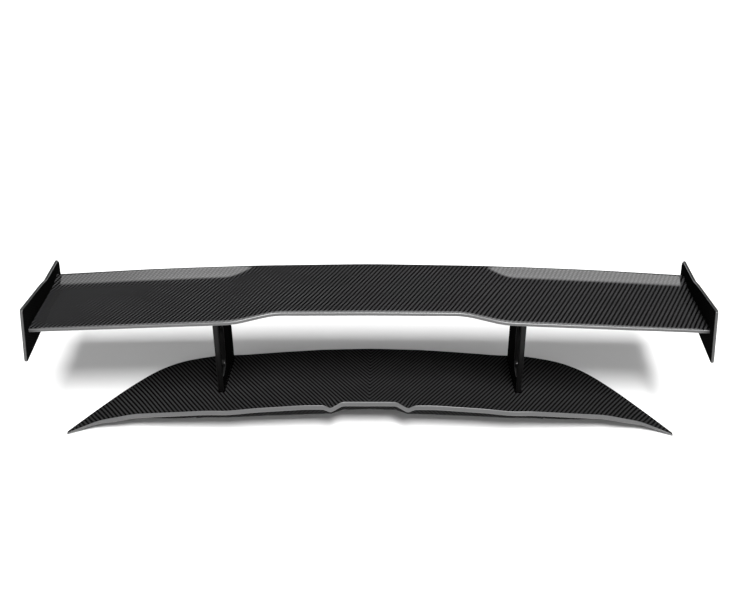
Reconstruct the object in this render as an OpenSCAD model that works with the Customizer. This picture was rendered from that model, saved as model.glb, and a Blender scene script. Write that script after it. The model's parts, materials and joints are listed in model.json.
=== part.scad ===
// Racing rear wing: a carbon wing on two uprights, standing on a ducktail base.
// +X is to the right, +Y is towards the car's nose, +Z is up. The origin is at the middle of the
// bottom of the whole part.

/* [Overall] */
// Width over the two endplates
span = 1400; // [1360:10:1440]
// Distance between the middles of the two uprights
upright_spacing = 660; // [652:2:668]

/* [Wing] */
// Fore-and-aft place of the nose circle's centre, forward of the outer trailing edge
nose_y = 257; // [254:1:260]
// Radius of the nose
nose_r = 9; // [8:0.5:10]
// Height of the trailing edge's blunt face
edge_h = 8; // [6:1:10]
// Thickness of the two wing skins
skin_t = 2; // [1.5:0.5:2.5]
// How far forward of the outer ones the middle trailing edge is set
centre_set = 20; // [10:2:30]

/* [Endplates] */
// Thickness of an endplate
endplate_t = 6; // [4:1:8]

/* [Uprights] */
// Thickness of an upright
upright_t = 12; // [10:1:14]
// Height of the pivot above the floor
pivot_z = 256; // [254:1:258]
// Distance from the pivot back to the clamp bolt
clamp_arm = 75; // [70:1:80]
// Angle that the trailing edge can be lowered by, in degrees
angle_down = 3; // [1:1:4]
// Angle that the trailing edge can be raised by, in degrees
angle_up = 8; // [4:1:9]

/* [Base] */
// Height of the base's trailing face
lip_h = 12; // [10:1:14]
// Thickness of the base's top skin
base_t = 2.5; // [2:0.5:3]
// Half width of the flat middle of the notch
notch_flat = 58; // [50:1:64]
// How far the notch goes in
notch_in = 14; // [8:1:20]

/* [Hidden] */
$fn = 48;

half_wing = span / 2 - endplate_t;
upright_x = upright_spacing / 2;
// Lengths along Y below are measured forward from the outer trailing edge of the wing.
// The middle of the part is this far forward of that edge.
edge_to_middle = 164.8;
bond_gap = 0.3;
// How far a cut runs past the face that it starts or ends on
past = 1;
bolt_r = 3;
insert_r = 5;
hole_play = 0.3;

carbon = "#26272b";
black = "#17181a";
steel = "#8d9096";
rubber = "#0e0e0f";
grey = "#5c6066";

// ---------------------------------------------------------------- helpers

module placed() {
    translate([0, -edge_to_middle, 0]) children();
}

// The same thing on the left
module flipped() {
    mirror([1, 0, 0]) children();
}

module both_sides() {
    children();
    flipped() children();
}

// An outline drawn in Y and Z, thick along X
module slab(x, thick) {
    translate([x, 0, 0]) rotate([90, 0, 90]) linear_extrude(thick) children();
}

// A round bar along X that starts at x
module bar_x(x, length, r, y, z) {
    translate([x, y, z]) rotate([0, 90, 0]) cylinder(h = length, r = r);
}

function unit(v) = v / norm(v);

// The points of one rounded corner
function corner(a, b, c, r, steps = 6) =
    let (
        u = unit(a - b),
        v = unit(c - b),
        half = acos(u * v) / 2,
        middle = b + unit(u + v) * r / sin(half),
        p = b + u * r / tan(half) - middle,
        q = b + v * r / tan(half) - middle,
        from = atan2(p[1], p[0]),
        turn = atan2(q[1], q[0]) - from,
        arc = turn > 180 ? turn - 360 : turn < -180 ? turn + 360 : turn
    )
    [for (i = [0 : steps]) middle + r * [cos(from + arc * i / steps), sin(from + arc * i / steps)]];

// An outline with a radius at each corner
function rounded(points, radii) =
    let (n = len(points))
    [for (i = [0 : n - 1])
        each corner(points[(i + n - 1) % n], points[i], points[(i + 1) % n], radii[i])];

function flip(points) = [for (i = [len(points) - 1 : -1 : 0]) points[i]];

// A solid through rings of points, one ring at each place along X
module loft(places, rings) {
    n = len(rings[0]);
    last = len(places) - 1;
    points = [for (i = [0 : last]) for (p = rings[i]) [places[i], p[0], p[1]]];
    // The diagonals on the left mirror those on the right.
    sides = [for (i = [0 : last - 1]) for (j = [0 : n - 1])
        let (a = i * n + j, b = i * n + (j + 1) % n, c = a + n, d = b + n)
        each places[i] < 0 ? [[a, b, c], [b, d, c]] : [[a, b, d], [a, d, c]]];
    start = [[for (j = [n - 1 : -1 : 0]) j]];
    finish = [[for (j = [0 : n - 1]) last * n + j]];
    polyhedron(points, concat(sides, start, finish), convexity = 8);
}

// Places on both sides of the middle from a list for the right side, which starts at 0
function mirrored(places) =
    concat([for (i = [len(places) - 1 : -1 : 1]) -places[i]], places);

// ---------------------------------------------------------------- shape of the wing

// Each of these takes the distance from the middle of the wing.
function edge_y(x) = lookup(x, [[196, centre_set], [276, 0]]);
function edge_z(x) = lookup(x, [[0, 330], [196, 329], [276, 318.5], [half_wing, 301]]);
function nose_z(x) =
    lookup(x, [[0, 305], [240, 301], [380, 296], [500, 290.5], [600, 284], [half_wing, 278]]);
// The outer sections are hollow above: the upper surface falls from the nose to this line and rises
// from there to the trailing edge.
function hollow_y(x) = lookup(x, [[245, nose_y - 8], [300, 216], [half_wing, 208]]);
function hollow_depth(x) = lookup(x, [[245, 0], [300, 7], [half_wing, 8]]);
function belly_z(x) = lookup(x, [[0, 290], [196, 290], [300, 284], [368, 284], [half_wing, 262]]);
bracket_belly = belly_z(upright_x);
belly_back = 100;
belly_front = 232;

// Height of the wing's upper surface
function upper(x, y) =
    let (
        along = (y - edge_y(x)) / (nose_y - edge_y(x)),
        top = nose_z(x) + nose_r,
        c = hollow_y(x),
        tent = y < c ? (y - edge_y(x)) / (c - edge_y(x)) : (nose_y - y) / (nose_y - c)
    )
    edge_z(x) + (top - edge_z(x)) * along - hollow_depth(x) * tent;

// Height of the wing's lower surface
function lower(x, y) =
    let (
        from = edge_z(x) - edge_h,
        belly = belly_z(x),
        along = (belly_back - y) / (belly_back - edge_y(x))
    )
    y < belly_back ? belly + (from - belly) * pow(max(along, 0), 1.5)
    : y < belly_front ? belly
    : belly + (nose_z(x) - nose_r - belly) * (y - belly_front) / (nose_y - belly_front);

edge_in = 24;
function upper_ys(x) =
    let (e = edge_y(x) + edge_in, c = hollow_y(x))
    [e, e + (c - e) * 0.35, e + (c - e) * 0.7, c, c + (nose_y - c) * 0.5];
function lower_ys(x) =
    let (e = edge_y(x) + edge_in)
    [e, e + (belly_back - e) * 0.33, e + (belly_back - e) * 0.67, belly_back, belly_front];

function nose_arc(x, r, angles) =
    [for (a = angles) [nose_y + r * cos(a), nose_z(x) + r * sin(a)]];

// The blunt trailing edge is rounded at its top and bottom
function edge_round(x, up) =
    let (y = edge_y(x), z = edge_z(x) - edge_h / 2, h = edge_h / 2)
    [[y, z], [y, z + up * h * 0.45], [y + 0.9, z + up * h * 0.85], [y + 3, z + up * h]];

function upper_skin(x) = concat(
    edge_round(x, 1),
    [for (y = upper_ys(x)) [y, upper(x, y)]],
    nose_arc(x, nose_r, [90, 60, 30, 0]),
    nose_arc(x, nose_r - skin_t, [0, 30, 60, 90]),
    flip([for (y = upper_ys(x)) [y, upper(x, y) - skin_t]])
);
function lower_skin(x) = flip(concat(
    edge_round(x, -1),
    [for (y = lower_ys(x)) [y, lower(x, y)]],
    nose_arc(x, nose_r, [-90, -60, -30, 0]),
    nose_arc(x, nose_r - skin_t, [0, -30, -60, -90]),
    flip([for (y = lower_ys(x)) [y, lower(x, y) + skin_t]])
));

wing_places = mirrored([
    0, 100, 196, 222, 245, 260, 276, 300, 334, 368, 440, 500, 550, 600, 650, half_wing
]);

// The Y places that an outline between the skins needs, from one Y to another
function between(ys, from, to) = concat([from], [for (y = ys) if (y > from && y < to) y], [to]);

// The space between the skins, less the bond line, from one Y to another
function core(x, from, to, gap = skin_t + bond_gap) = concat(
    [for (y = between(upper_ys(x), from, to)) [y, upper(x, y) - gap]],
    flip([for (y = between(lower_ys(x), from, to)) [y, lower(x, y) + gap]])
);

// ---------------------------------------------------------------- the wing

module wing_upper_skin() {
    color(carbon) placed() loft(wing_places, [for (x = wing_places) upper_skin(abs(x))]);
}

module wing_lower_skin() {
    color(carbon) placed() difference() {
        loft(wing_places, [for (x = wing_places) lower_skin(abs(x))]);
        both_sides() bracket_screw_places()
            translate([0, 0, bracket_belly - past]) cylinder(h = skin_t + 4 * past, r = bolt_r + hole_play);
    }
}

spar_t = 3;
rear_spar_y = 74;
front_spar_y = 196;
spar_end = half_wing - 14;

module spar(y) {
    gap = skin_t + bond_gap;
    inner = [for (x = wing_places) if (abs(x) < spar_end) x];
    places = concat([-spar_end], inner, [spar_end]);
    loft(places, [for (p = places)
        let (x = abs(p))
        [[y, lower(x, y) + gap], [y, upper(x, y) - gap],
            [y + spar_t, upper(x, y + spar_t) - gap], [y + spar_t, lower(x, y + spar_t) + gap]]
    ]);
}

module front_spar() {
    color(black) placed() spar(front_spar_y);
}

module rear_spar() {
    color(black) placed() spar(rear_spar_y);
}

rib_t = 12;
rib_x = half_wing - rib_t;
rib_back = 40;
rib_front = 246;
// The skins taper along the rib, so it has more room than the bond line.
rib_gap = skin_t + 1.2;

module end_rib() {
    difference() {
        slab(rib_x, rib_t) polygon(core(half_wing, rib_back, rib_front, rib_gap));
        for (p = endplate_screw_places) bar_x(rib_x - past, rib_t + 2 * past, insert_r, p[0], p[1]);
    }
}

module end_rib_right() {
    color(grey) placed() end_rib();
}

module end_rib_left() {
    color(grey) placed() flipped() end_rib();
}

// ---------------------------------------------------------------- endplates

endplate_corners = [
    [-42, 244], [-20, 358], [141, 328], [173, 320], [279, 312], [289, 302], [288, 244]
];
endplate_radii = [7, 7, 24, 24, 7, 7, 12];
endplate_screw_places = [[70, 281], [145, 275], [222, 273]];
sunk_head_r = 6;
sunk_head_h = 3;
key_r = 2.3;
key_depth = 2.4;

module sunk_screw(length) {
    difference() {
        union() {
            cylinder(h = length, r = bolt_r);
            translate([0, 0, length - sunk_head_h])
                cylinder(h = sunk_head_h, r1 = bolt_r, r2 = sunk_head_r);
        }
        translate([0, 0, length - key_depth]) cylinder(h = key_depth + past, r = key_r, $fn = 6);
    }
}

module endplate() {
    difference() {
        slab(half_wing, endplate_t) polygon(rounded(endplate_corners, endplate_radii));
        for (p = endplate_screw_places) {
            bar_x(half_wing - past, endplate_t + 2 * past, bolt_r, p[0], p[1]);
            translate([half_wing + endplate_t - sunk_head_h, p[0], p[1]]) rotate([0, 90, 0])
                cylinder(h = sunk_head_h, r1 = bolt_r, r2 = sunk_head_r);
        }
    }
}

module endplate_right() {
    color(black) placed() endplate();
}

module endplate_left() {
    color(black) placed() flipped() endplate();
}

screw_in = 10;
module endplate_screws() {
    color(steel) placed() both_sides() for (p = endplate_screw_places)
        translate([half_wing - screw_in, p[0], p[1]]) rotate([0, 90, 0])
            sunk_screw(endplate_t + screw_in);
}

module endplate_inserts() {
    color("#9a8450") placed() both_sides() for (p = endplate_screw_places) difference() {
        bar_x(rib_x, rib_t, insert_r, p[0], p[1]);
        bar_x(rib_x - past, rib_t + 2 * past, bolt_r, p[0], p[1]);
    }
}

// ---------------------------------------------------------------- brackets and what they bolt to

pivot_y = 215;
clamp_y = pivot_y - clamp_arm;
ear_t = 5;
play = 0.3;
ear_in = upright_t / 2 + play;
flange_t = 5;
flange_half = 25;
flange_back = 104;
flange_front = 232;
flange_z = bracket_belly - flange_t;
pivot_r = 4;
slot_half = 3.5;
screw_off = 19;
bracket_screw_ys = [116, 184];

module bracket_screw_places() {
    for (s = [-1, 1]) for (y = bracket_screw_ys) translate([upright_x + s * screw_off, y, 0])
        children();
}

// Where the clamp bolt sits in an ear with the trailing edge raised by this angle
function slot_point(raise, r = clamp_arm) =
    [pivot_y - r * cos(raise), pivot_z - r * sin(raise)];

// The ears' outline hangs from the flange round the pivot and round the slot
ear_corners = [
    [116, flange_z], [122, pivot_z - 20], [158, pivot_z - 20], [190, pivot_z - 13],
    [232, pivot_z - 13], [232, flange_z]
];
ear_radii = [0.5, 12, 12, 20, 12, 0.5];

module slot() {
    for (raise = [-angle_down, angle_up])
        bar_x(0, upright_x * 2, slot_half, slot_point(raise)[0], slot_point(raise)[1]);
    intersection() {
        difference() {
            bar_x(0, upright_x * 2, clamp_arm + slot_half, pivot_y, pivot_z);
            bar_x(-past, upright_x * 2 + 2 * past, clamp_arm - slot_half, pivot_y, pivot_z);
        }
        slab(0, upright_x * 2) polygon([
            [pivot_y, pivot_z], slot_point(-angle_down, 100), slot_point(angle_up, 100)
        ]);
    }
}

module wing_bracket() {
    difference() {
        union() {
            translate([upright_x - flange_half, flange_back, flange_z])
                cube([2 * flange_half, flange_front - flange_back, flange_t]);
            for (x = [upright_x - ear_in - ear_t, upright_x + ear_in])
                slab(x, ear_t) polygon(rounded(ear_corners, ear_radii));
        }
        bar_x(0, upright_x * 2, pivot_r, pivot_y, pivot_z);
        slot();
        bracket_screw_places() translate([0, 0, flange_z - past])
            cylinder(h = flange_t + 2 * past, r = bolt_r);
    }
}

module wing_bracket_right() {
    color(grey) placed() wing_bracket();
}

module wing_bracket_left() {
    color(grey) placed() flipped() wing_bracket();
}

hard_point_half = 31;
hard_point_back = 103;
hard_point_bore = 15;

module hard_point() {
    difference() {
        slab(upright_x - hard_point_half, 2 * hard_point_half)
            polygon(core(upright_x + hard_point_half, hard_point_back, front_spar_y - bond_gap));
        bracket_screw_places()
            translate([0, 0, bracket_belly]) cylinder(h = hard_point_bore, r = bolt_r);
    }
}

module hard_point_right() {
    color(steel) placed() hard_point();
}

module hard_point_left() {
    color(steel) placed() flipped() hard_point();
}

// A cap screw that points up, with the underside of its head at 0
module cap_screw(length, r) {
    difference() {
        union() {
            cylinder(h = length, r = r);
            translate([0, 0, -1.6 * r]) cylinder(h = 1.6 * r, r = 1.65 * r);
        }
        translate([0, 0, -1.6 * r - 1]) cylinder(h = r + 1, r = 0.95 * r, $fn = 6);
    }
}

module bracket_screws() {
    color(steel) placed() both_sides() bracket_screw_places()
        translate([0, 0, flange_z]) cap_screw(flange_t + 12, bolt_r);
}

washer_t = 1.6;
stack = ear_in + ear_t;

module ring_x(x, length, outer, inner, y, z) {
    difference() {
        bar_x(x, length, outer, y, z);
        bar_x(x - past, length + 2 * past, inner, y, z);
    }
}

module nut_x(x, r, y, z) {
    translate([x, y, z]) rotate([0, 90, 0]) difference() {
        cylinder(h = 1.7 * r, r = 1.9 * r, $fn = 6);
        translate([0, 0, -past]) cylinder(h = 1.7 * r + 2 * past, r = r);
    }
}

// A bolt through both ears, with its head on the outer side, pointing at the middle of the part
module bolt_through(r, y, z, clear) {
    reach = stack + clear + washer_t;
    translate([upright_x + reach, y, z]) rotate([0, -90, 0]) cap_screw(2 * reach + 1.7 * r + 1, r);
}

module washers_x(r, y, z, clear) {
    for (x = [upright_x + stack + clear, upright_x - stack - clear - washer_t])
        ring_x(x, washer_t, 2.1 * r, r, y, z);
}

module pivot_bolts() {
    color(steel) placed() both_sides() bolt_through(pivot_r, pivot_y, pivot_z, 0);
}

module pivot_washers() {
    color(steel) placed() both_sides() washers_x(pivot_r, pivot_y, pivot_z, 0);
}

module pivot_nuts() {
    color(steel) placed() both_sides()
        nut_x(upright_x - stack - washer_t - 1.7 * pivot_r, pivot_r, pivot_y, pivot_z);
}

module clamp_bolts() {
    color(steel) placed() both_sides() bolt_through(bolt_r, clamp_y, pivot_z, play);
}

module clamp_washers() {
    color(steel) placed() both_sides() washers_x(bolt_r, clamp_y, pivot_z, play);
}

module clamp_nuts() {
    color(steel) placed() both_sides()
        nut_x(upright_x - stack - play - washer_t - 1.7 * bolt_r, bolt_r, clamp_y, pivot_z);
}

// ---------------------------------------------------------------- shape of the base

base_half = 662;
skin_end = 640;
edge_t = 4;
under_t = 2;
full_edge_y = 30;
full_edge_z = 93;
notch_side = 25;
notch_end = 39;
// The notch's shape ends here, and the trailing edge begins to fall.
plain_end = 140;

// Each of these takes the distance from the middle of the base.
function front_y(x) = lookup(x, [
    [0, 370], [120, 367], [220, 359], [306, 353], [354, 352.5], [400, 349.5], [440, 343], [480, 322],
    [515, 290], [560, 228], [610, 149], [base_half, 60]
]);
function front_z(x) = lookup(x, [
    [0, 26], [120, 24.5], [220, 22], [306, 18], [354, 18], [400, 12], [450, 7], [510, 4]
]);
function back_y(x) = lookup(x, [
    [notch_flat, full_edge_y + notch_in], [notch_flat + notch_side, full_edge_y],
    [250, full_edge_y], [306, 31], [354, 32], [432, 42], [511, 54], [591, 61], [626, 60],
    [base_half, 51]
]);
function back_z(x) = lookup(x, [
    [notch_flat, 92.5], [notch_flat + notch_side, 85], [notch_flat + notch_end, full_edge_z],
    [plain_end, full_edge_z],
    [250, 84.5], [306, 77], [354, 77], [432, 65.5], [511, 53], [591, 31], [626, 16], [640, 11.3],
    [base_half, 4]
]);
function face_h(x) = lookup(x, [[560, lip_h], [640, 5], [base_half, 4]]);
// How much the underside rises from the front edge to the back of the boot lid
function lid_rise(x) = lookup(x, [[0, 26], [330, 20], [510, 16], [600, 7], [640, 1.7], [base_half, 0]]);

// The trailing edge as it would be without the notch
function plain_y(x) = x < plain_end ? full_edge_y : back_y(x);
function plain_z(x) = x < plain_end ? full_edge_z : back_z(x);
// Height of the base's top surface, apart from the notch
function deck(x, y) =
    front_z(x) + (plain_z(x) - front_z(x)) * (front_y(x) - y) / (front_y(x) - plain_y(x));
// The notch stays behind this line
function ramp_y(x) = plain_y(x) + min(45, 0.4 * (front_y(x) - plain_y(x)));

function lid_y(x) = back_y(x) + min(40, 0.5 * (front_y(x) - back_y(x)));
// Height of the underside, forward of lid_y
function under(x, y) =
    front_z(x) - edge_t + lid_rise(x) * (front_y(x) - 1 - y) / (front_y(x) - 1 - lid_y(x));

function base_top(x) = [
    [front_y(x), front_z(x)], [front_y(x) - 0.5, front_z(x) - edge_t / 2],
    [ramp_y(x), deck(x, ramp_y(x)) - base_t],
    [back_y(x) + 4.5, back_z(x) - base_t - 0.9], [back_y(x) + 4.2, back_z(x) - face_h(x)],
    [back_y(x) + 3, back_z(x) - face_h(x)], [back_y(x), back_z(x) - 1], [back_y(x) + 0.8, back_z(x)],
    [ramp_y(x), deck(x, ramp_y(x))]
];
function base_under(x) = [
    [front_y(x) - 0.5, front_z(x) - edge_t / 2], [front_y(x) - 1, front_z(x) - edge_t],
    [lid_y(x), under(x, lid_y(x))], [back_y(x) + 4.2, back_z(x) - face_h(x)],
    [back_y(x) + 5.7, back_z(x) - face_h(x) + 1.8], [lid_y(x), under(x, lid_y(x)) + under_t]
];
// Outside the skins the base is solid, and its section has as many points as the skin's.
function base_tip(x) =
    let (
        low = back_z(x) - face_h(x),
        heel = min(4.2, 0.3 * (front_y(x) - back_y(x))),
        mid = (lid_y(x) + back_y(x) + heel) / 2
    ) [
    [front_y(x), front_z(x)], [front_y(x) - 1, front_z(x) - edge_t],
    [lid_y(x), under(x, lid_y(x))], [mid, (under(x, lid_y(x)) + low) / 2],
    [back_y(x) + heel, low], [back_y(x) + 0.7 * heel, low], [back_y(x), back_z(x) - 1],
    [back_y(x) + 0.8, back_z(x)], [ramp_y(x), deck(x, ramp_y(x))]
];

base_places = mirrored([
    0, notch_flat, notch_flat + notch_side / 2, notch_flat + notch_side, notch_flat + notch_end,
    plain_end, 220, 306, 354, 400, 440, 480, 511, 540, 566, 591, 610, 626, skin_end
]);
tip_places = [skin_end + 0.5, 652, base_half];

// ---------------------------------------------------------------- the base

module base_top_skin() {
    places = concat(flip(-tip_places), base_places, tip_places);
    color(carbon) placed() difference() {
        loft(places, [for (x = places) abs(x) > skin_end ? base_tip(abs(x)) : base_top(abs(x))]);
        both_sides() foot_screw_holes();
    }
}

module base_under_skin() {
    color(carbon) placed() difference() {
        loft(base_places, [for (x = base_places) base_under(abs(x))]);
        both_sides() for (y = stud_ys)
            translate([upright_x, y, 0]) cylinder(h = stud_top(y), r = stud_root_r + hole_play);
    }
}

tape_w = 12;
tape_t = 1;
tape_end = 380;
tape_gap = 0.3;

module tape(setback) {
    inner = [for (x = base_places) if (abs(x) < tape_end) x];
    places = concat([-tape_end], inner, [tape_end]);
    loft(places, [for (place = places)
        let (x = abs(place), a = setback < 0 ? lid_y(x) + tape_w : front_y(x) - setback, b = a - tape_w)
        [for (p = [[a, 0], [a, tape_t], [b, tape_t], [b, 0]]) [p[0], under(x, p[0]) - tape_gap - p[1]]]
    ]);
}

module mounting_tape_front() {
    color(rubber) placed() tape(10);
}

module mounting_tape_rear() {
    color(rubber) placed() tape(-1);
}

stud_ys = [145, 235];
stud_low = 6;
stud_root_r = 3.8;
stud_root_out = 1.5;
foot_screw_ys = [178, 272];
block_back = 130;
block_front = 296;
block_w = 22;
bore_down = 40;
screw_seat = 6.5;
foot_head_r = 5;
foot_head_h = 3;
deck_slope = atan((deck(upright_x, 150) - deck(upright_x, 250)) / 100);

// Places a thing on the deck under the upright, square to the deck, with its zero at the deck
module on_deck(y) {
    translate([upright_x, y, deck(upright_x, y)]) rotate([-deck_slope, 0, 0]) children();
}

function block_low(y) = under(upright_x, y) + under_t + bond_gap;
function block_top(y) = deck(upright_x, y) - base_t - 2 * bond_gap;
function stud_top(y) = block_top(y) - 3;

module mount_block() {
    difference() {
        slab(upright_x - block_w, 2 * block_w) polygon([
            [block_back, block_low(block_back)], [block_front, block_low(block_front)],
            [block_front, block_top(block_front)], [block_back, block_top(block_back)]
        ]);
        for (y = stud_ys) translate([upright_x, y, 0]) cylinder(h = stud_top(y), r = stud_root_r);
        for (y = foot_screw_ys) on_deck(y) {
            translate([0, 0, -bore_down]) cylinder(h = bore_down + past, r = bolt_r + hole_play);
            translate([0, 0, -bore_down])
                cylinder(h = bore_down - screw_seat, r = foot_head_r + hole_play);
        }
    }
}

module mount_block_right() {
    color(black) placed() mount_block();
}

module mount_block_left() {
    color(black) placed() flipped() mount_block();
}

module mounting_studs() {
    color(steel) placed() both_sides() for (y = stud_ys) {
        root = under(upright_x, y) - stud_root_out;
        translate([upright_x, y, stud_low]) cylinder(h = root - stud_low, r = bolt_r);
        translate([upright_x, y, root]) cylinder(h = stud_top(y) - root, r = stud_root_r);
    }
}

// ---------------------------------------------------------------- uprights

gasket_t = 1.5;
foot_back = 133;
foot_front = 342;
gasket_over = 2;
gasket_gap = 0.2;
foot_hole_down = 10;
foot_hole_up = 25;
foot_screw_up = 22;

function foot_z(y) = deck(upright_x, y) + gasket_t / cos(deck_slope);

module upright_gasket() {
    back = foot_back - gasket_over;
    front = foot_front + gasket_over;
    slab(upright_x - upright_t / 2 - gasket_over, upright_t + 2 * gasket_over) polygon([
        [back, deck(upright_x, back) + gasket_gap], [front, deck(upright_x, front) + gasket_gap],
        [front, foot_z(front)], [back, foot_z(back)]
    ]);
}

module upright_gasket_right() {
    color(rubber) placed() difference() {
        upright_gasket();
        foot_screw_holes();
    }
}

module upright_gasket_left() {
    color(rubber) placed() flipped() difference() {
        upright_gasket();
        foot_screw_holes();
    }
}

module foot_screw_holes() {
    for (y = foot_screw_ys) on_deck(y)
        translate([0, 0, -foot_hole_down]) cylinder(h = foot_hole_down + foot_hole_up, r = bolt_r);
}

upright_corners = [
    [foot_back, foot_z(foot_back)], [foot_front, foot_z(foot_front)], [330, 111],
    [pivot_y + 15, pivot_z + 8], [pivot_y + 2, pivot_z + 14], [110, pivot_z + 13], [113, 239]
];
upright_radii = [4, 3, 40, 9, 9, 10, 40];
window_corners = [[142, 92], [196, 92], [194, 190], [168, 212], [127, 212]];
window_radii = [12, 14, 40, 12, 10];
bush_r = 7;
bush_bore = 4.04;

module upright() {
    difference() {
        slab(upright_x - upright_t / 2, upright_t) difference() {
            polygon(rounded(upright_corners, upright_radii));
            polygon(rounded(window_corners, window_radii));
        }
        bar_x(0, upright_x * 2, bush_r, pivot_y, pivot_z);
        bar_x(0, upright_x * 2, bolt_r, clamp_y, pivot_z);
        foot_screw_holes();
    }
}

module upright_right() {
    color(black) placed() upright();
}

module upright_left() {
    color(black) placed() flipped() upright();
}

module pivot_bushes() {
    color("#8a6d3b") placed() both_sides()
        ring_x(upright_x - upright_t / 2, upright_t, bush_r, bush_bore, pivot_y, pivot_z);
}

module foot_screws() {
    color(steel) placed() both_sides() for (y = foot_screw_ys) on_deck(y) {
        translate([0, 0, -screw_seat]) difference() {
            union() {
                cylinder(h = screw_seat + foot_screw_up, r = bolt_r);
                translate([0, 0, -foot_head_h]) cylinder(h = foot_head_h, r = foot_head_r);
            }
            translate([0, 0, -foot_head_h - past]) cylinder(h = foot_head_h, r = key_r, $fn = 6);
        }
    }
}

// ---------------------------------------------------------------- nodes

base_top_skin();
base_under_skin();
mounting_tape_front();
mounting_tape_rear();
mount_block_left();
mount_block_right();
mounting_studs();
upright_gasket_left();
upright_gasket_right();
upright_left();
upright_right();
foot_screws();
pivot_bushes();
clamp_bolts();
clamp_washers();
clamp_nuts();
wing_upper_skin();
wing_lower_skin();
front_spar();
rear_spar();
hard_point_left();
hard_point_right();
end_rib_left();
end_rib_right();
wing_bracket_left();
wing_bracket_right();
bracket_screws();
pivot_bolts();
pivot_washers();
pivot_nuts();
endplate_left();
endplate_right();
endplate_screws();
endplate_inserts();
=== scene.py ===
"""Racing rear wing: the looks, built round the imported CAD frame.

Shapes are worked out in millimetres, with Y measured forward from the wing's outer trailing edge,
and place() turns a point into the frame's metres.
"""

import json
import math

import bmesh
import bpy
from mathutils import Matrix, Vector


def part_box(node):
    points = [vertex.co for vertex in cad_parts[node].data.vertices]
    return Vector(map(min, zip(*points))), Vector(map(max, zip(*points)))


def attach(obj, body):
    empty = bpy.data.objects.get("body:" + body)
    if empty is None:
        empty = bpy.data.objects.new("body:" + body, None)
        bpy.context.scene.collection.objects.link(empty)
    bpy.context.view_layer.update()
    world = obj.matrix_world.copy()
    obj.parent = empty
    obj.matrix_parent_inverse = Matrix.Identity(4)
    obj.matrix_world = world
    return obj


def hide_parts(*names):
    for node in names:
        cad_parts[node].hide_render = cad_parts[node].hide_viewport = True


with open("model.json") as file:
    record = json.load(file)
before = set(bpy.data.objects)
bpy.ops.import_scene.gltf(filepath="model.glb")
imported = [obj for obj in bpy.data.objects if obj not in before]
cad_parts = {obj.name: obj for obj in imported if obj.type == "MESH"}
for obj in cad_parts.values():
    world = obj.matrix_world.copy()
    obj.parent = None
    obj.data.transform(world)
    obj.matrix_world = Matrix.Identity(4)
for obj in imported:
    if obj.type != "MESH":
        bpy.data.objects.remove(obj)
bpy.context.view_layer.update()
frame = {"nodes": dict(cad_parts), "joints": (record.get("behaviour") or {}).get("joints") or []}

MM = 0.001
joint = frame["joints"][0]
upper_low, upper_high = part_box("wing_upper_skin")
upright_low, upright_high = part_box("upright_right")
plate_low, plate_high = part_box("endplate_right")
edge_to_middle = -upper_low.y / MM
half_wing = upper_high.x / MM
endplate_t = (plate_high.x - plate_low.x) / MM
upright_x = (upright_low.x + upright_high.x) / 2 / MM
upright_t = (upright_high.x - upright_low.x) / MM
pivot_y = joint["pos_m"][1] / MM + edge_to_middle
pivot_z = joint["pos_m"][2] / MM
base_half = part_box("base_top_skin")[1].x / MM
skin_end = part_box("base_under_skin")[1].x / MM


def place(x, y, z):
    """A point in the frame's metres."""
    return Vector((x, y - edge_to_middle, z)) * MM


# ---------------------------------------------------------------- curves

def line(points, x):
    """Straight from point to point, and straight on past the last one."""
    for (x0, y0), (x1, y1) in zip(points, points[1:]):
        if x <= x1:
            break
    return y0 + (y1 - y0) * (x - x0) / (x1 - x0)


def spread(reach, steps=6):
    return [reach * k / steps for k in range(-steps, steps + 1)]


def smooth(points, soften):
    """The same line with its corners rounded over this length on each side. It is even in x."""
    def value(x):
        places = spread(soften)
        return sum(line(points, abs(x + d)) for d in places) / len(places)
    return value


def ease(t):
    t = min(max(t, 0), 1)
    return t * t * (3 - 2 * t)


def arc(y, z, r, start, stop, steps):
    """Points round a circle in the YZ plane, by angle from +Y."""
    angles = [math.radians(start + (stop - start) * k / steps) for k in range(steps + 1)]
    return [(y + r * math.cos(a), z + r * math.sin(a)) for a in angles]


def between(a, b, steps, crowd=1.0):
    """Places from a to b, without a, that crowd towards b when crowd is above 1."""
    return [a + (b - a) * (1 - (1 - k / steps) ** crowd) for k in range(1, steps + 1)]


# ---------------------------------------------------------------- mesh helpers

def sharpen(mesh, degrees=32):
    """Smooth shading with hard edges where two faces meet at more than this angle."""
    bm = bmesh.new()
    bm.from_mesh(mesh)
    for face in bm.faces:
        face.smooth = True
    for edge in bm.edges:
        flat = len(edge.link_faces) == 2 and edge.calc_face_angle(0) < math.radians(degrees)
        edge.smooth = flat
    bm.to_mesh(mesh)
    bm.free()


def make(name, bm, body, materials, replaced):
    """Turns a bmesh into a piece that rides on a body and stands for its CAD nodes."""
    bmesh.ops.recalc_face_normals(bm, faces=bm.faces)
    mesh = bpy.data.meshes.new(name)
    bm.to_mesh(mesh)
    bm.free()
    sharpen(mesh)
    piece = bpy.data.objects.new(name, mesh)
    bpy.context.scene.collection.objects.link(piece)
    for material in materials:
        mesh.materials.append(material)
    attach(piece, body)
    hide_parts(*replaced)
    return piece


def loft(places, ring, edge_spans=()):
    """A closed solid through rings of (y, z) points, one at each place along X.

    Faces that start at a ring point inside one of edge_spans take the second material.
    """
    bm = bmesh.new()
    rings = [[bm.verts.new(place(x, y, z)) for y, z in ring(x)] for x in places]
    count = len(rings[0])
    for a, b in zip(rings, rings[1:]):
        for j in range(count):
            k = (j + 1) % count
            face = bm.faces.new((a[j], a[k], b[k], b[j]))
            face.material_index = int(any(low <= j < high for low, high in edge_spans))
    for cap in (rings[0], rings[-1]):
        bmesh.ops.triangulate(bm, faces=[bm.faces.new(cap)])
    return bm


def mirrored(places):
    """The same places on both sides of the middle."""
    return [-x for x in reversed(places) if x > 0] + places


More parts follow.
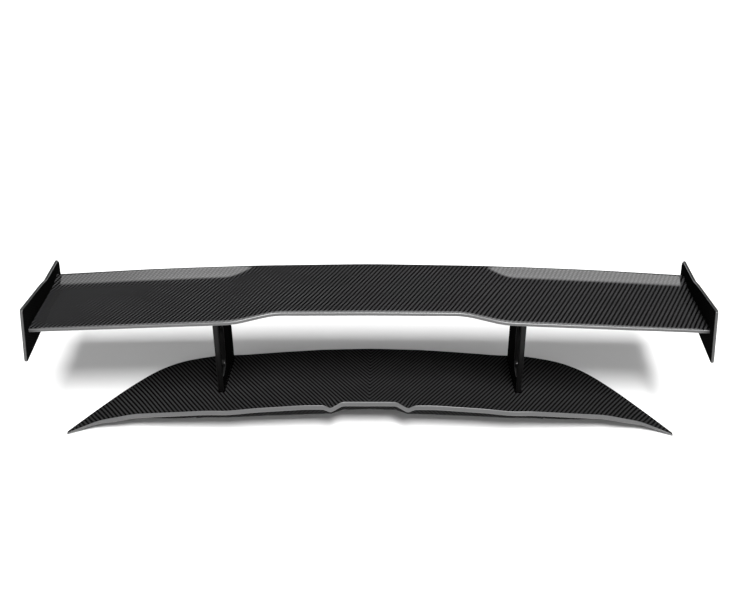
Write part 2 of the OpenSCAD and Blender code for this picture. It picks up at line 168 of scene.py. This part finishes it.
def steps_to(marks):
    """Places from 0 outwards. marks is a list of (place, step up to it)."""
    places = [0.0]
    for stop, step in marks:
        count = max(1, round((stop - places[-1]) / step))
        start = places[-1]
        places += [start + (stop - start) * k / count for k in range(1, count + 1)]
    return places


# ---------------------------------------------------------------- the wing's shape

nose_y = 257
nose_r = 9
edge_h = 8
skin_t = 2
corner_r = 2.2
roll_length = 16
roll_depth = 1.3
corner_steps = 6
edge_bow = 0.3

edge_y = smooth([(0, 20), (196, 20), (276, 0), (half_wing, 0)], 20)
edge_z = smooth([(0, 330), (196, 329), (276, 318.5), (half_wing, 301)], 20)
nose_z = smooth(
    [(0, 305), (240, 301), (380, 296), (500, 290.5), (600, 284), (half_wing, 278)], 40)
hollow_y = smooth([(0, 249), (245, 249), (300, 216), (half_wing, 208)], 16)
hollow_depth = smooth([(0, 0), (245, 0), (300, 7), (half_wing, 8)], 16)
belly_z = smooth([(0, 290), (196, 290), (300, 284), (368, 284), (half_wing, 262)], 30)
belly_back = 100
belly_front = 215


def upper(x, y):
    """Height of the wing's upper surface."""
    edge, deep, top = edge_y(x), hollow_y(x), nose_z(x) + nose_r
    along = (y - edge) / (nose_y - edge)
    tents = [min((y + d - edge) / (deep - edge), (nose_y - y - d) / (nose_y - deep))
             for d in spread(17, 8)]
    roll = max(0, 1 - (y - edge) / roll_length) ** 2
    flat = edge_z(x) + (top - edge_z(x)) * along
    return flat - hollow_depth(x) * sum(tents) / len(tents) - roll_depth * roll


def lower(x, y):
    """Height of the wing's lower surface."""
    start, belly = edge_z(x) - edge_h, belly_z(x)
    if y < belly_back:
        return belly + (start - belly) * ((belly_back - y) / (belly_back - edge_y(x))) ** 1.5
    rise = max(0, (y - belly_front) / (nose_y - belly_front))
    return belly + (nose_z(x) - nose_r - belly) * rise ** 2


def upper_ring(x):
    edge, middle = edge_y(x), edge_z(x) - edge_h / 2
    start = edge + corner_r
    corner = arc(start, upper(x, start) - corner_r, corner_r, 180, 98, corner_steps)
    ys = between(start, edge + 12, 5) + between(edge + 12, nose_y - 1, 34)
    nose = arc(nose_y, nose_z(x), nose_r, 80, 0, 8)
    inner_nose = arc(nose_y, nose_z(x), nose_r - skin_t, 0, 80, 4)
    back = [(y, upper(x, y) - skin_t) for y in between(nose_y - 4, edge + 24, 9)]
    outside = [(edge + edge_bow, middle)] + corner + [(y, upper(x, y)) for y in ys] + nose
    return outside + inner_nose + back


def lower_ring(x):
    edge, middle = edge_y(x), edge_z(x) - edge_h / 2
    start = edge + corner_r
    corner = arc(start, lower(x, start) + corner_r, corner_r, 180, 262, corner_steps)
    ys = between(start, belly_back, 12) + between(belly_back, nose_y - 1, 16)
    nose = arc(nose_y, nose_z(x), nose_r, -80, 0, 8)
    inner_nose = arc(nose_y, nose_z(x), nose_r - skin_t, 0, -80, 4)
    back = [(y, lower(x, y) + skin_t) for y in between(nose_y - 4, edge + 24, 9)]
    outside = [(edge + edge_bow, middle)] + corner + [(y, lower(x, y)) for y in ys] + nose
    return outside + inner_nose + back


wing_places = mirrored(steps_to([(160, 16), (330, 5), (half_wing, 14)]))


# ---------------------------------------------------------------- the base's shape

lip_h = 12
base_t = 2.5
edge_t = 4
under_t = 2
lip_r = 1.2
lip_foot_r = 2.6
ramp = 45
lip_t = 4.2
bull_steps = 5
deck_steps = 26
lip_steps = 6
heel_steps = 7

front_y = smooth([
    (0, 370), (120, 367), (220, 359), (306, 353), (354, 352.5), (400, 349.5), (440, 343),
    (480, 322), (515, 290), (560, 228), (610, 149), (base_half, 60)], 20)
front_z = smooth([
    (0, 26), (120, 24.5), (220, 22), (306, 18), (354, 18), (400, 12), (450, 7), (510, 4),
    (base_half, 4)], 24)
plain_y = smooth([
    (0, 30), (250, 30), (306, 31), (354, 32), (432, 42), (511, 54), (591, 61), (626, 60),
    (base_half, 51)], 14)
plain_z = smooth([
    (0, 93), (140, 93), (250, 84.5), (306, 77), (354, 77), (432, 65.5), (511, 53), (591, 31),
    (626, 16), (640, 11.3), (base_half, 4)], 14)
notch_y = smooth([(0, 14), (58, 14), (83, 0), (base_half, 0)], 4)
notch_z = smooth([(0, -0.5), (58, -0.5), (83, -8), (97, 0), (base_half, 0)], 4)
face_h = smooth([(0, lip_h), (560, lip_h), (640, 5), (base_half, 4)], 12)
lid_rise = smooth([(0, 26), (330, 20), (510, 16), (600, 7), (640, 1.7), (base_half, 0)], 12)


def back_y(x):
    return plain_y(x) + notch_y(x)


def deck(x, y):
    """Height of the base's top surface."""
    slope = (plain_z(x) - front_z(x)) / (front_y(x) - plain_y(x))
    reach = min(ramp, 0.4 * (front_y(x) - plain_y(x)))
    blend = ease((plain_y(x) + reach - y) / max(reach - notch_y(x), 1))
    return front_z(x) + slope * (front_y(x) - y) + notch_z(x) * blend


def back_z(x):
    return plain_z(x) + notch_z(x)


def lid_y(x):
    return back_y(x) + min(40, 0.5 * (front_y(x) - back_y(x)))


def under(x, y):
    """Height of the base's underside, forward of lid_y."""
    start = front_y(x) - 1
    return front_z(x) - edge_t + lid_rise(x) * (start - y) / (start - lid_y(x))


def base_top_ring(x):
    x = abs(x)
    front, low, back, top = front_y(x), front_z(x) - edge_t / 2, back_y(x), back_z(x)
    face = face_h(x)
    foot = min(lip_foot_r, 0.4 * face)
    lip = min(lip_r, 0.3 * face)
    bull = arc(front - edge_t / 2, low, edge_t / 2, 0, 78, bull_steps)
    ys = between(bull[-1][0], back + lip, deck_steps, 1.3)
    corner = arc(back + lip, top - lip, lip, 90, 180, lip_steps)[1:]
    heel = arc(back + foot, top - face + foot, foot, 180, 270, heel_steps)
    ring = bull + [(y, deck(x, y)) for y in ys] + corner + heel + [(back + lip_t, top - face)]
    if x > skin_end:
        heel_y, heel_z = back + lip_t, top - face
        run, rise = front - 1 - heel_y, front_z(x) - edge_t - heel_z
        return ring + [(heel_y + run * k / 7, heel_z + rise * k / 7) for k in range(1, 8)]
    inner = [(back + lip_t + 0.3, top - base_t - 0.9)]
    return ring + inner + [(y, deck(x, y) - base_t) for y in between(back + 8, front - 8, 6)]


def base_under_ring(x):
    x = abs(x)
    front, back, foot = front_y(x), back_y(x), back_z(x) - face_h(x)
    ys = between(lid_y(x), front - 1, 12)
    bull = arc(front - edge_t / 2, front_z(x) - edge_t / 2, edge_t / 2, -80, 0, 4)
    start, stop = back + lip_t, lid_y(x)
    slope = (under(x, stop) - foot) / (stop - start)
    outer = [(y, foot + slope * (y - start)) for y in [start] + between(start, stop, 4)]
    inner = [(y, under(x, y) + under_t) for y in between(front - 6, lid_y(x), 6)]
    return outer + [(y, under(x, y)) for y in ys[:-1]] + bull + inner + [(start + 1.5, foot + 1.8)]


def base_stations(stop):
    inside = [(108, 4), (480, 12), (skin_end, 5)]
    beyond = [(skin_end + 0.5, 1), (base_half, 4)]
    return mirrored(steps_to(inside + (beyond if stop > skin_end else [])))


# ---------------------------------------------------------------- plates

def rounded(corners, radii, steps=10):
    """An outline in Y and Z with a radius at each corner."""
    outline = []
    for i, r in enumerate(radii):
        here = Vector(corners[i])
        back = (Vector(corners[i - 1]) - here).normalized()
        on = (Vector(corners[(i + 1) % len(corners)]) - here).normalized()
        half = math.acos(back.dot(on)) / 2
        middle = here + (back + on).normalized() * r / math.sin(half)
        first = here + back * r / math.tan(half) - middle
        last = here + on * r / math.tan(half) - middle
        turn = math.atan2(first.x * last.y - first.y * last.x, first.dot(last))
        for k in range(steps + 1):
            outline.append(middle + Matrix.Rotation(turn * k / steps, 2) @ first)
    return outline


def inset(outline, depth):
    """The outline moved to its left by depth, point by point."""
    moved = []
    for i, here in enumerate(outline):
        run = (outline[(i + 1) % len(outline)] - outline[i - 1]).normalized()
        moved.append(here + Vector((-run.y, run.x)) * depth)
    return moved


def around(outline, left):
    """The outline turned so that its solid lies to its left, or to its right."""
    pairs = zip(outline, outline[1:] + outline[:1])
    area = sum(a.x * b.y - b.x * a.y for a, b in pairs)
    return outline if (area > 0) == left else outline[::-1]


def plate(outer, windows, start, thick, rim):
    """A flat plate of YZ outlines, thick along X, with round rims in the second material."""
    bm = bmesh.new()
    turns = [math.radians(90 * k / 5) for k in range(6)]
    profile = [(0, rim + 0.5)] + [(rim * (1 - math.cos(a)), rim * (1 - math.sin(a))) for a in turns]
    profile += [(thick - x, depth) for x, depth in reversed(profile)]
    caps = ([], [])
    for outline in [around(outer, True)] + [around(w, False) for w in windows]:
        rings = [[bm.verts.new(place(start + x, p.x, p.y)) for p in inset(outline, depth)]
                 for x, depth in profile]
        for index, (a, b) in enumerate(zip(rings, rings[1:])):
            for j in range(len(a)):
                k = (j + 1) % len(a)
                face = bm.faces.new((a[j], a[k], b[k], b[j]))
                face.material_index = int(0 < index < len(rings) - 2)
        for cap, ring in zip(caps, (rings[0], rings[-1])):
            cap += [bm.edges.get((ring[j], ring[(j + 1) % len(ring)])) for j in range(len(ring))]
    for edges in caps:
        bmesh.ops.triangle_fill(bm, edges=edges, use_beauty=True)
    return bm


def flipped(bm):
    bmesh.ops.scale(bm, vec=(-1, 1, 1), verts=bm.verts)
    return bm


def revolve(profile, steps=40):
    """A closed solid turned about X from (x, radius) points."""
    bm = bmesh.new()
    rings = [[bm.verts.new((x * MM, r * MM * math.cos(t), r * MM * math.sin(t)))
              for t in (2 * math.pi * k / steps for k in range(steps))] for x, r in profile]
    for a, b in zip(rings, rings[1:]):
        for j in range(steps):
            bm.faces.new((a[j], a[(j + 1) % steps], b[(j + 1) % steps], b[j]))
    bm.faces.new(rings[0])
    bm.faces.new(rings[-1])
    bmesh.ops.recalc_face_normals(bm, faces=bm.faces)
    return bm


def bore(piece, profile, spots):
    """Cuts the turned shape out of the piece at each (x, y, z) spot."""
    for x, y, z in spots:
        bm = revolve([(-px, r) for px, r in profile] if x < 0 else profile)
        bmesh.ops.translate(bm, vec=place(x, y, z), verts=bm.verts)
        mesh = bpy.data.meshes.new("cutter")
        bmesh.ops.recalc_face_normals(bm, faces=bm.faces)
        bm.to_mesh(mesh)
        bm.free()
        cutter = bpy.data.objects.new("cutter", mesh)
        bpy.context.scene.collection.objects.link(cutter)
        cut = piece.modifiers.new("bore", "BOOLEAN")
        cut.object = cutter
        cut.operation = "DIFFERENCE"
        cut.solver = "EXACT"
        apply_modifiers(piece)
        bpy.data.objects.remove(cutter)
    sharpen(piece.data)


def apply_modifiers(piece):
    graph = bpy.context.evaluated_depsgraph_get()
    result = bpy.data.meshes.new_from_object(piece.evaluated_get(graph))
    piece.modifiers.clear()
    old = piece.data
    piece.data = result
    bpy.data.meshes.remove(old)


# ---------------------------------------------------------------- materials

def new_material(name):
    """A material, its node tree and its shader."""
    material = bpy.data.materials.new(name)
    material.use_nodes = True
    tree = material.node_tree
    return material, tree, tree.nodes["Principled BSDF"]


def node(tree, kind, **settings):
    made = tree.nodes.new(kind)
    for key, value in settings.items():
        setattr(made, key, value)
    return made


def math_node(tree, operation, a, b=None):
    made = node(tree, "ShaderNodeMath", operation=operation)
    for socket, value in zip(made.inputs, (a, b)):
        if value is None:
            continue
        if isinstance(value, (int, float)):
            socket.default_value = value
        else:
            tree.links.new(value, socket)
    return made.outputs[0]


def mix_colour(tree, factor, a, b):
    made = node(tree, "ShaderNodeMix", data_type="RGBA")
    for socket, value in zip((made.inputs[0], made.inputs[6], made.inputs[7]), (factor, a, b)):
        if isinstance(value, (int, float)):
            socket.default_value = value
        elif isinstance(value, tuple):
            socket.default_value = (*value, 1)
        else:
            tree.links.new(value, socket)
    return made.outputs[2]


def noise(tree, scale, detail=2.0, stretch=None):
    """Grey noise over the object's own coordinates."""
    coords = node(tree, "ShaderNodeTexCoord").outputs["Object"]
    if stretch:
        mapping = node(tree, "ShaderNodeMapping")
        mapping.inputs["Scale"].default_value = stretch
        tree.links.new(coords, mapping.inputs["Vector"])
        coords = mapping.outputs[0]
    made = node(tree, "ShaderNodeTexNoise")
    made.inputs["Scale"].default_value = scale
    made.inputs["Detail"].default_value = detail
    tree.links.new(coords, made.inputs["Vector"])
    return made.outputs["Fac"]


def bump(tree, height, strength, distance):
    made = node(tree, "ShaderNodeBump")
    made.inputs["Strength"].default_value = strength
    made.inputs["Distance"].default_value = distance
    tree.links.new(height, made.inputs["Height"])
    return made.outputs[0]


def twill(tree, first, second, tows, seam):
    """Nodes of a two-by-two twill. Returns where the second tow is on top, and the crown.

    With a seam, the cloth is matched like a book about the middle of the part.
    """
    coords = node(tree, "ShaderNodeTexCoord").outputs["Object"]
    split = node(tree, "ShaderNodeSeparateXYZ")
    tree.links.new(coords, split.inputs[0])
    run = split.outputs[first]
    if seam:
        run = math_node(tree, "ABSOLUTE", run)
    u = math_node(tree, "DIVIDE", run, tows[0])
    v = math_node(tree, "DIVIDE", split.outputs[second], tows[1])
    steps = math_node(tree, "SUBTRACT", math_node(tree, "FLOOR", u), math_node(tree, "FLOOR", v))
    turn = math_node(tree, "FLOORED_MODULO", steps, 4.0)
    over = math_node(tree, "LESS_THAN", turn, 1.5)

    def hump(value):
        turn = math_node(tree, "MULTIPLY", math_node(tree, "FRACT", value), math.pi)
        return math_node(tree, "SINE", turn)

    pick_u = math_node(tree, "MULTIPLY", over, hump(u))
    under_it = math_node(tree, "SUBTRACT", 1.0, over)
    pick_v = math_node(tree, "MULTIPLY", under_it, hump(v))
    return over, math_node(tree, "ADD", pick_u, pick_v)


def carbon(name, first, second, dark, light, rough, coat, crown_depth, tows=(0.0023, 0.0048),
           seam=False):
    """Lacquered carbon cloth whose tows run along two axes of the object. The light colour is a
    painted sheen on the tows along the first axis, and each tow has painted shade towards the resin
    at its edges.
    """
    material, tree, shader = new_material(name)
    over, crown = twill(tree, first, second, tows, seam)
    worn = noise(tree, 9.0)
    # Painted sheen: the light colour goes on the tows along the first axis, where they would catch
    # the key light; dark is the other tows.
    tow_sheen_colour = mix_colour(tree, over, light, dark)
    # Each tow darkens towards its edges, following its crown, down to the resin colour between the
    # tows. This is partly dark resin and partly painted shade on the tow flanks. Random patches
    # weaken it.
    resin_and_groove_shade = (0.002, 0.002, 0.002)
    painted_crown_shade = mix_colour(tree, math_node(tree, "MULTIPLY", crown, 0.55), resin_and_groove_shade, tow_sheen_colour)
    patch = mix_colour(tree, math_node(tree, "MULTIPLY", worn, 0.3), painted_crown_shade, tow_sheen_colour)
    tree.links.new(patch, shader.inputs["Base Color"])
    tree.links.new(bump(tree, crown, 0.5, crown_depth), shader.inputs["Normal"])
    shader.inputs["Roughness"].default_value = rough
    shader.inputs["Specular IOR Level"].default_value = 0.0
    shader.inputs["Coat Weight"].default_value = coat
    shader.inputs["Coat Roughness"].default_value = 0.04
    ripple = bump(tree, noise(tree, 60.0), 0.15, 0.0002)
    tree.links.new(ripple, shader.inputs["Coat Normal"])
    return material


def satin(name, dark, light, rough, metallic=0.0, coat=0.0, coat_rough=0.08, grain=900.0,
          stretch=None, relief=0.15, specular=0.5):
    """A plain finish with fine grain: cut edges, anodised metal, steel, bronze or rubber."""
    material, tree, shader = new_material(name)
    fine = noise(tree, grain, 3.0, stretch)
    broad = noise(tree, 25.0)
    both = math_node(tree, "MULTIPLY", math_node(tree, "ADD", fine, broad), 0.5)
    tree.links.new(mix_colour(tree, both, dark, light), shader.inputs["Base Color"])
    roughness = math_node(tree, "ADD", math_node(tree, "MULTIPLY", broad, 0.16), rough - 0.08)
    tree.links.new(roughness, shader.inputs["Roughness"])
    tree.links.new(bump(tree, fine, relief, 0.0001), shader.inputs["Normal"])
    shader.inputs["Metallic"].default_value = metallic
    shader.inputs["Coat Weight"].default_value = coat
    shader.inputs["Coat Roughness"].default_value = coat_rough
    shader.inputs["Specular IOR Level"].default_value = specular
    return material


# In each carbon cloth below, light is a painted sheen on the tows along the first axis, and dark is
# the unlit tows.
cloth = carbon("wing_carbon", "X", "Y", dark=(0.0005,) * 3, light=(0.07, 0.07, 0.072), rough=0.5,
               coat=0.9, crown_depth=0.0001, tows=(0.0023, 0.0056))
base_cloth = carbon("base_carbon", "X", "Y", dark=(0.0005,) * 3, light=(0.052, 0.052, 0.053),
                    rough=0.5, coat=0.0, crown_depth=0.0001, seam=True)
plate_cloth = carbon("plate_carbon", "Y", "Z", dark=(0.002,) * 3, light=(0.009,) * 3, rough=0.5,
                     coat=0.0, crown_depth=0.0001)
edge_finish = satin("carbon_edge", (0.02,) * 3, (0.04, 0.04, 0.041), 0.42, coat=1.0,
                    coat_rough=0.35)
black_edge = satin("plate_edge", (0.003,) * 3, (0.008,) * 3, 0.5, coat=1.0, coat_rough=0.1)
upright_edge = satin("upright_edge", (0.001,) * 3, (0.003,) * 3, 0.5, coat=0.2, coat_rough=0.2,
                     specular=0.1)
gasket_rubber = satin("gasket_rubber", (0.0005,) * 3, (0.0015,) * 3, 0.9, relief=0.35, specular=0.0)
inner_cloth = carbon("inner_carbon", "X", "Z", dark=(0.01,) * 3, light=(0.02,) * 3, rough=0.5,
                     coat=0.2, crown_depth=0.0002)
aluminium = satin("anodised_aluminium", (0.03,) * 3, (0.07, 0.07, 0.073), 0.38, metallic=0.9,
                  stretch=(1, 12, 1))
steel = satin("zinc_steel", (0.42, 0.42, 0.43), (0.62, 0.62, 0.64), 0.3, metallic=1.0)
bronze = satin("bronze", (0.32, 0.2, 0.08), (0.5, 0.33, 0.15), 0.35, metallic=1.0)
rubber = satin("rubber", (0.008,) * 3, (0.02,) * 3, 0.75, relief=0.35)
block_finish = satin("moulded_block", (0.012,) * 3, (0.026,) * 3, 0.55)


# ---------------------------------------------------------------- pieces

# Which faces of each ring are the trailing edge
wing_edge = [(0, corner_steps + 1)]
lip_start = bull_steps + deck_steps
base_lip = [(lip_start, lip_start + lip_steps + heel_steps + 2)]

make("upper_skin", loft(wing_places, upper_ring, wing_edge), "wing",
     (cloth, edge_finish), ["wing_upper_skin"])
make("lower_skin", loft(wing_places, lower_ring, wing_edge), "wing",
     (cloth, edge_finish), ["wing_lower_skin"])
make("base_skin", loft(base_stations(base_half), base_top_ring, base_lip),
     "base", (base_cloth, edge_finish), ["base_top_skin"])
make("base_floor", loft(base_stations(skin_end), base_under_ring), "base",
     (base_cloth,), ["base_under_skin"])

endplate_corners = [
    (-42, 244), (-20, 358), (141, 328), (173, 320), (279, 312), (289, 302), (288, 244)]
endplate_radii = [7, 7, 24, 24, 7, 7, 12]
endplate_screws = [(70, 281), (145, 275), (222, 273)]
bolt_r = 3
sunk_r = 6
sunk_h = 3

foot_back = 133
foot_front = 342
gasket_t = 1.5


def foot_z(y):
    """Height of an upright's foot, which stands on a gasket."""
    slope = (deck(upright_x, 150) - deck(upright_x, 250)) / 100
    return deck(upright_x, y) + gasket_t / math.cos(math.atan(slope))


upright_corners = [
    (foot_back, foot_z(foot_back)), (foot_front, foot_z(foot_front)), (330, 111),
    (pivot_y + 15, pivot_z + 8), (pivot_y + 2, pivot_z + 14), (110, pivot_z + 13), (113, 239)]
upright_radii = [4, 3, 40, 9, 9, 10, 40]
window_corners = [(142, 92), (196, 92), (194, 190), (168, 212), (127, 212)]
window_radii = [12, 14, 40, 12, 10]
clamp_arm = 75
clamp_y = pivot_y - clamp_arm
bush_r = 7

for side, sign in (("left", -1), ("right", 1)):
    shape = plate(rounded(endplate_corners, endplate_radii), [], half_wing, endplate_t, 1.9)
    if sign < 0:
        flipped(shape)
    endplate = make("endplate_shell_" + side, shape, "wing",
                    (plate_cloth, black_edge), ["endplate_" + side])
    sink = [(-endplate_t - 1, bolt_r), (-sunk_h, bolt_r), (0.02, sunk_r + 0.02), (1, sunk_r + 0.02)]
    bore(endplate, sink, [(sign * (half_wing + endplate_t), y, z) for y, z in endplate_screws])

    shape = plate(rounded(upright_corners, upright_radii), [rounded(window_corners, window_radii)],
                  upright_x - upright_t / 2, upright_t, 2.6)
    if sign < 0:
        flipped(shape)
    upright = make("upright_plate_" + side, shape, "base",
                   (plate_cloth, upright_edge), ["upright_" + side])
    bore(upright, [(-upright_t, bush_r), (upright_t, bush_r)], [(sign * upright_x, pivot_y, pivot_z)])
    bore(upright, [(-upright_t, bolt_r), (upright_t, bolt_r)], [(sign * upright_x, clamp_y, pivot_z)])


finishes = {
    "mounting_tape_front": rubber, "mounting_tape_rear": rubber,
    "mount_block_left": block_finish, "mount_block_right": block_finish,
    "upright_gasket_left": gasket_rubber, "upright_gasket_right": gasket_rubber,
    "mounting_studs": steel,
    "foot_screws": steel, "pivot_bushes": bronze, "clamp_bolts": steel, "clamp_washers": steel,
    "clamp_nuts": steel, "front_spar": inner_cloth, "rear_spar": inner_cloth,
    "hard_point_left": aluminium, "hard_point_right": aluminium,
    "end_rib_left": block_finish, "end_rib_right": block_finish,
    "wing_bracket_left": aluminium, "wing_bracket_right": aluminium,
    "bracket_screws": steel, "pivot_bolts": steel, "pivot_washers": steel, "pivot_nuts": steel,
    "endplate_screws": steel, "endplate_inserts": bronze,
}
for name, material in finishes.items():
    mesh = frame["nodes"][name].data
    mesh.materials.clear()
    mesh.materials.append(material)


# ---------------------------------------------------------------- floor, light and camera

def floor():
    """A pale floor, just below the part so that the two don't share a plane."""
    size = 60
    drop = 0.0002
    bm = bmesh.new()
    corners = [(-size, -size), (size, -size), (size, size), (-size, size)]
    bm.faces.new([bm.verts.new((x, y, -drop)) for x, y in corners])
    mesh = bpy.data.meshes.new("floor")
    bm.to_mesh(mesh)
    bm.free()
    material, _, shader = new_material("pale_floor")
    shader.inputs["Base Color"].default_value = (0.8, 0.8, 0.8, 1)
    shader.inputs["Roughness"].default_value = 0.9
    shader.inputs["Specular IOR Level"].default_value = 0.0
    mesh.materials.append(material)
    plane = bpy.data.objects.new("floor", mesh)
    bpy.context.scene.collection.objects.link(plane)


def soft_box(name, azimuth, elevation, distance, wide, tall, power):
    """A flat light that faces the origin. Azimuth 0 is behind the wing, and 90 is on its right."""
    a, e = math.radians(azimuth), math.radians(elevation)
    away = Vector((math.sin(a) * math.cos(e), -math.cos(a) * math.cos(e), math.sin(e)))
    data = bpy.data.lights.new(name, "AREA")
    data.shape = "RECTANGLE"
    data.size = 2 * distance * math.tan(math.radians(wide / 2))
    data.size_y = 2 * distance * math.tan(math.radians(tall / 2))
    data.energy = power
    lamp = bpy.data.objects.new(name, data)
    lamp.location = away * distance
    lamp.rotation_euler = away.to_track_quat("Z", "Y").to_euler()
    bpy.context.scene.collection.objects.link(lamp)


def room():
    """A dark room with a bright wall behind the trailing edge and a soft panel ahead, high up."""
    panel_light = 3.1
    wall_light = 1.45
    rest_light = 0.035
    backdrop_light = 1.1
    world = bpy.data.worlds.new("room")
    bpy.context.scene.world = world
    world.use_nodes = True
    tree = world.node_tree
    tree.nodes.clear()
    coords = node(tree, "ShaderNodeTexCoord").outputs["Generated"]
    split = node(tree, "ShaderNodeSeparateXYZ")
    tree.links.new(coords, split.inputs[0])
    x, y, z = split.outputs

    def step(value, low, high):
        made = node(tree, "ShaderNodeMapRange", interpolation_type="SMOOTHSTEP")
        made.inputs["From Min"].default_value = low
        made.inputs["From Max"].default_value = high
        tree.links.new(value, made.inputs["Value"])
        return made.outputs[0]

    def times(a, b):
        return math_node(tree, "MULTIPLY", a, b)

    ahead = step(y, 0.0, 0.15)
    panel = times(times(step(z, 0.48, 0.60), step(z, 0.82, 0.74)), ahead)
    panel = times(panel, times(step(x, -0.50, -0.14), step(x, 0.62, 0.3)))
    wall = times(step(y, 0.05, -0.25), step(z, 0.72, 0.45))
    light = math_node(tree, "ADD", times(panel, panel_light), times(wall, wall_light))
    light = math_node(tree, "ADD", light, rest_light)
    seen = node(tree, "ShaderNodeLightPath").outputs["Is Camera Ray"]
    room_light = node(tree, "ShaderNodeBackground")
    tree.links.new(light, room_light.inputs["Strength"])
    plain = node(tree, "ShaderNodeBackground")
    plain.inputs["Strength"].default_value = backdrop_light
    for background in (room_light, plain):
        background.inputs["Color"].default_value = (1, 1, 1, 1)
    mix = node(tree, "ShaderNodeMixShader")
    out = node(tree, "ShaderNodeOutputWorld")
    tree.links.new(seen, mix.inputs[0])
    tree.links.new(room_light.outputs[0], mix.inputs[1])
    tree.links.new(plain.outputs[0], mix.inputs[2])
    tree.links.new(mix.outputs[0], out.inputs[0])


def camera():
    """Behind the wing and above it, and a hair to its right."""
    stand = (0.029, -2.405, 1.646)
    yaw, pitch, roll = (math.radians(a) for a in (0.41, 29.89, -0.1))
    ahead = Vector((-math.sin(yaw), math.cos(yaw), 0))
    forward = ahead * math.cos(pitch) + Vector((0, 0, -math.sin(pitch)))
    right = Vector((math.cos(yaw), math.sin(yaw), 0))
    up = right.cross(forward)
    turned = right * math.cos(roll) + up * math.sin(roll)
    up = up * math.cos(roll) - right * math.sin(roll)
    data = bpy.data.cameras.new("camera")
    data.lens = 61.6
    data.sensor_width = 36
    data.clip_end = 300
    made = bpy.data.objects.new("camera", data)
    axes = Matrix((turned, up, -forward)).transposed().to_4x4()
    made.matrix_world = Matrix.Translation(stand) @ axes
    bpy.context.scene.collection.objects.link(made)
    bpy.context.scene.camera = made


floor()
room()
soft_box("key", azimuth=8, elevation=51, distance=40, wide=11, tall=18, power=33000)
camera()
bpy.context.scene.view_settings.view_transform = "Standard"
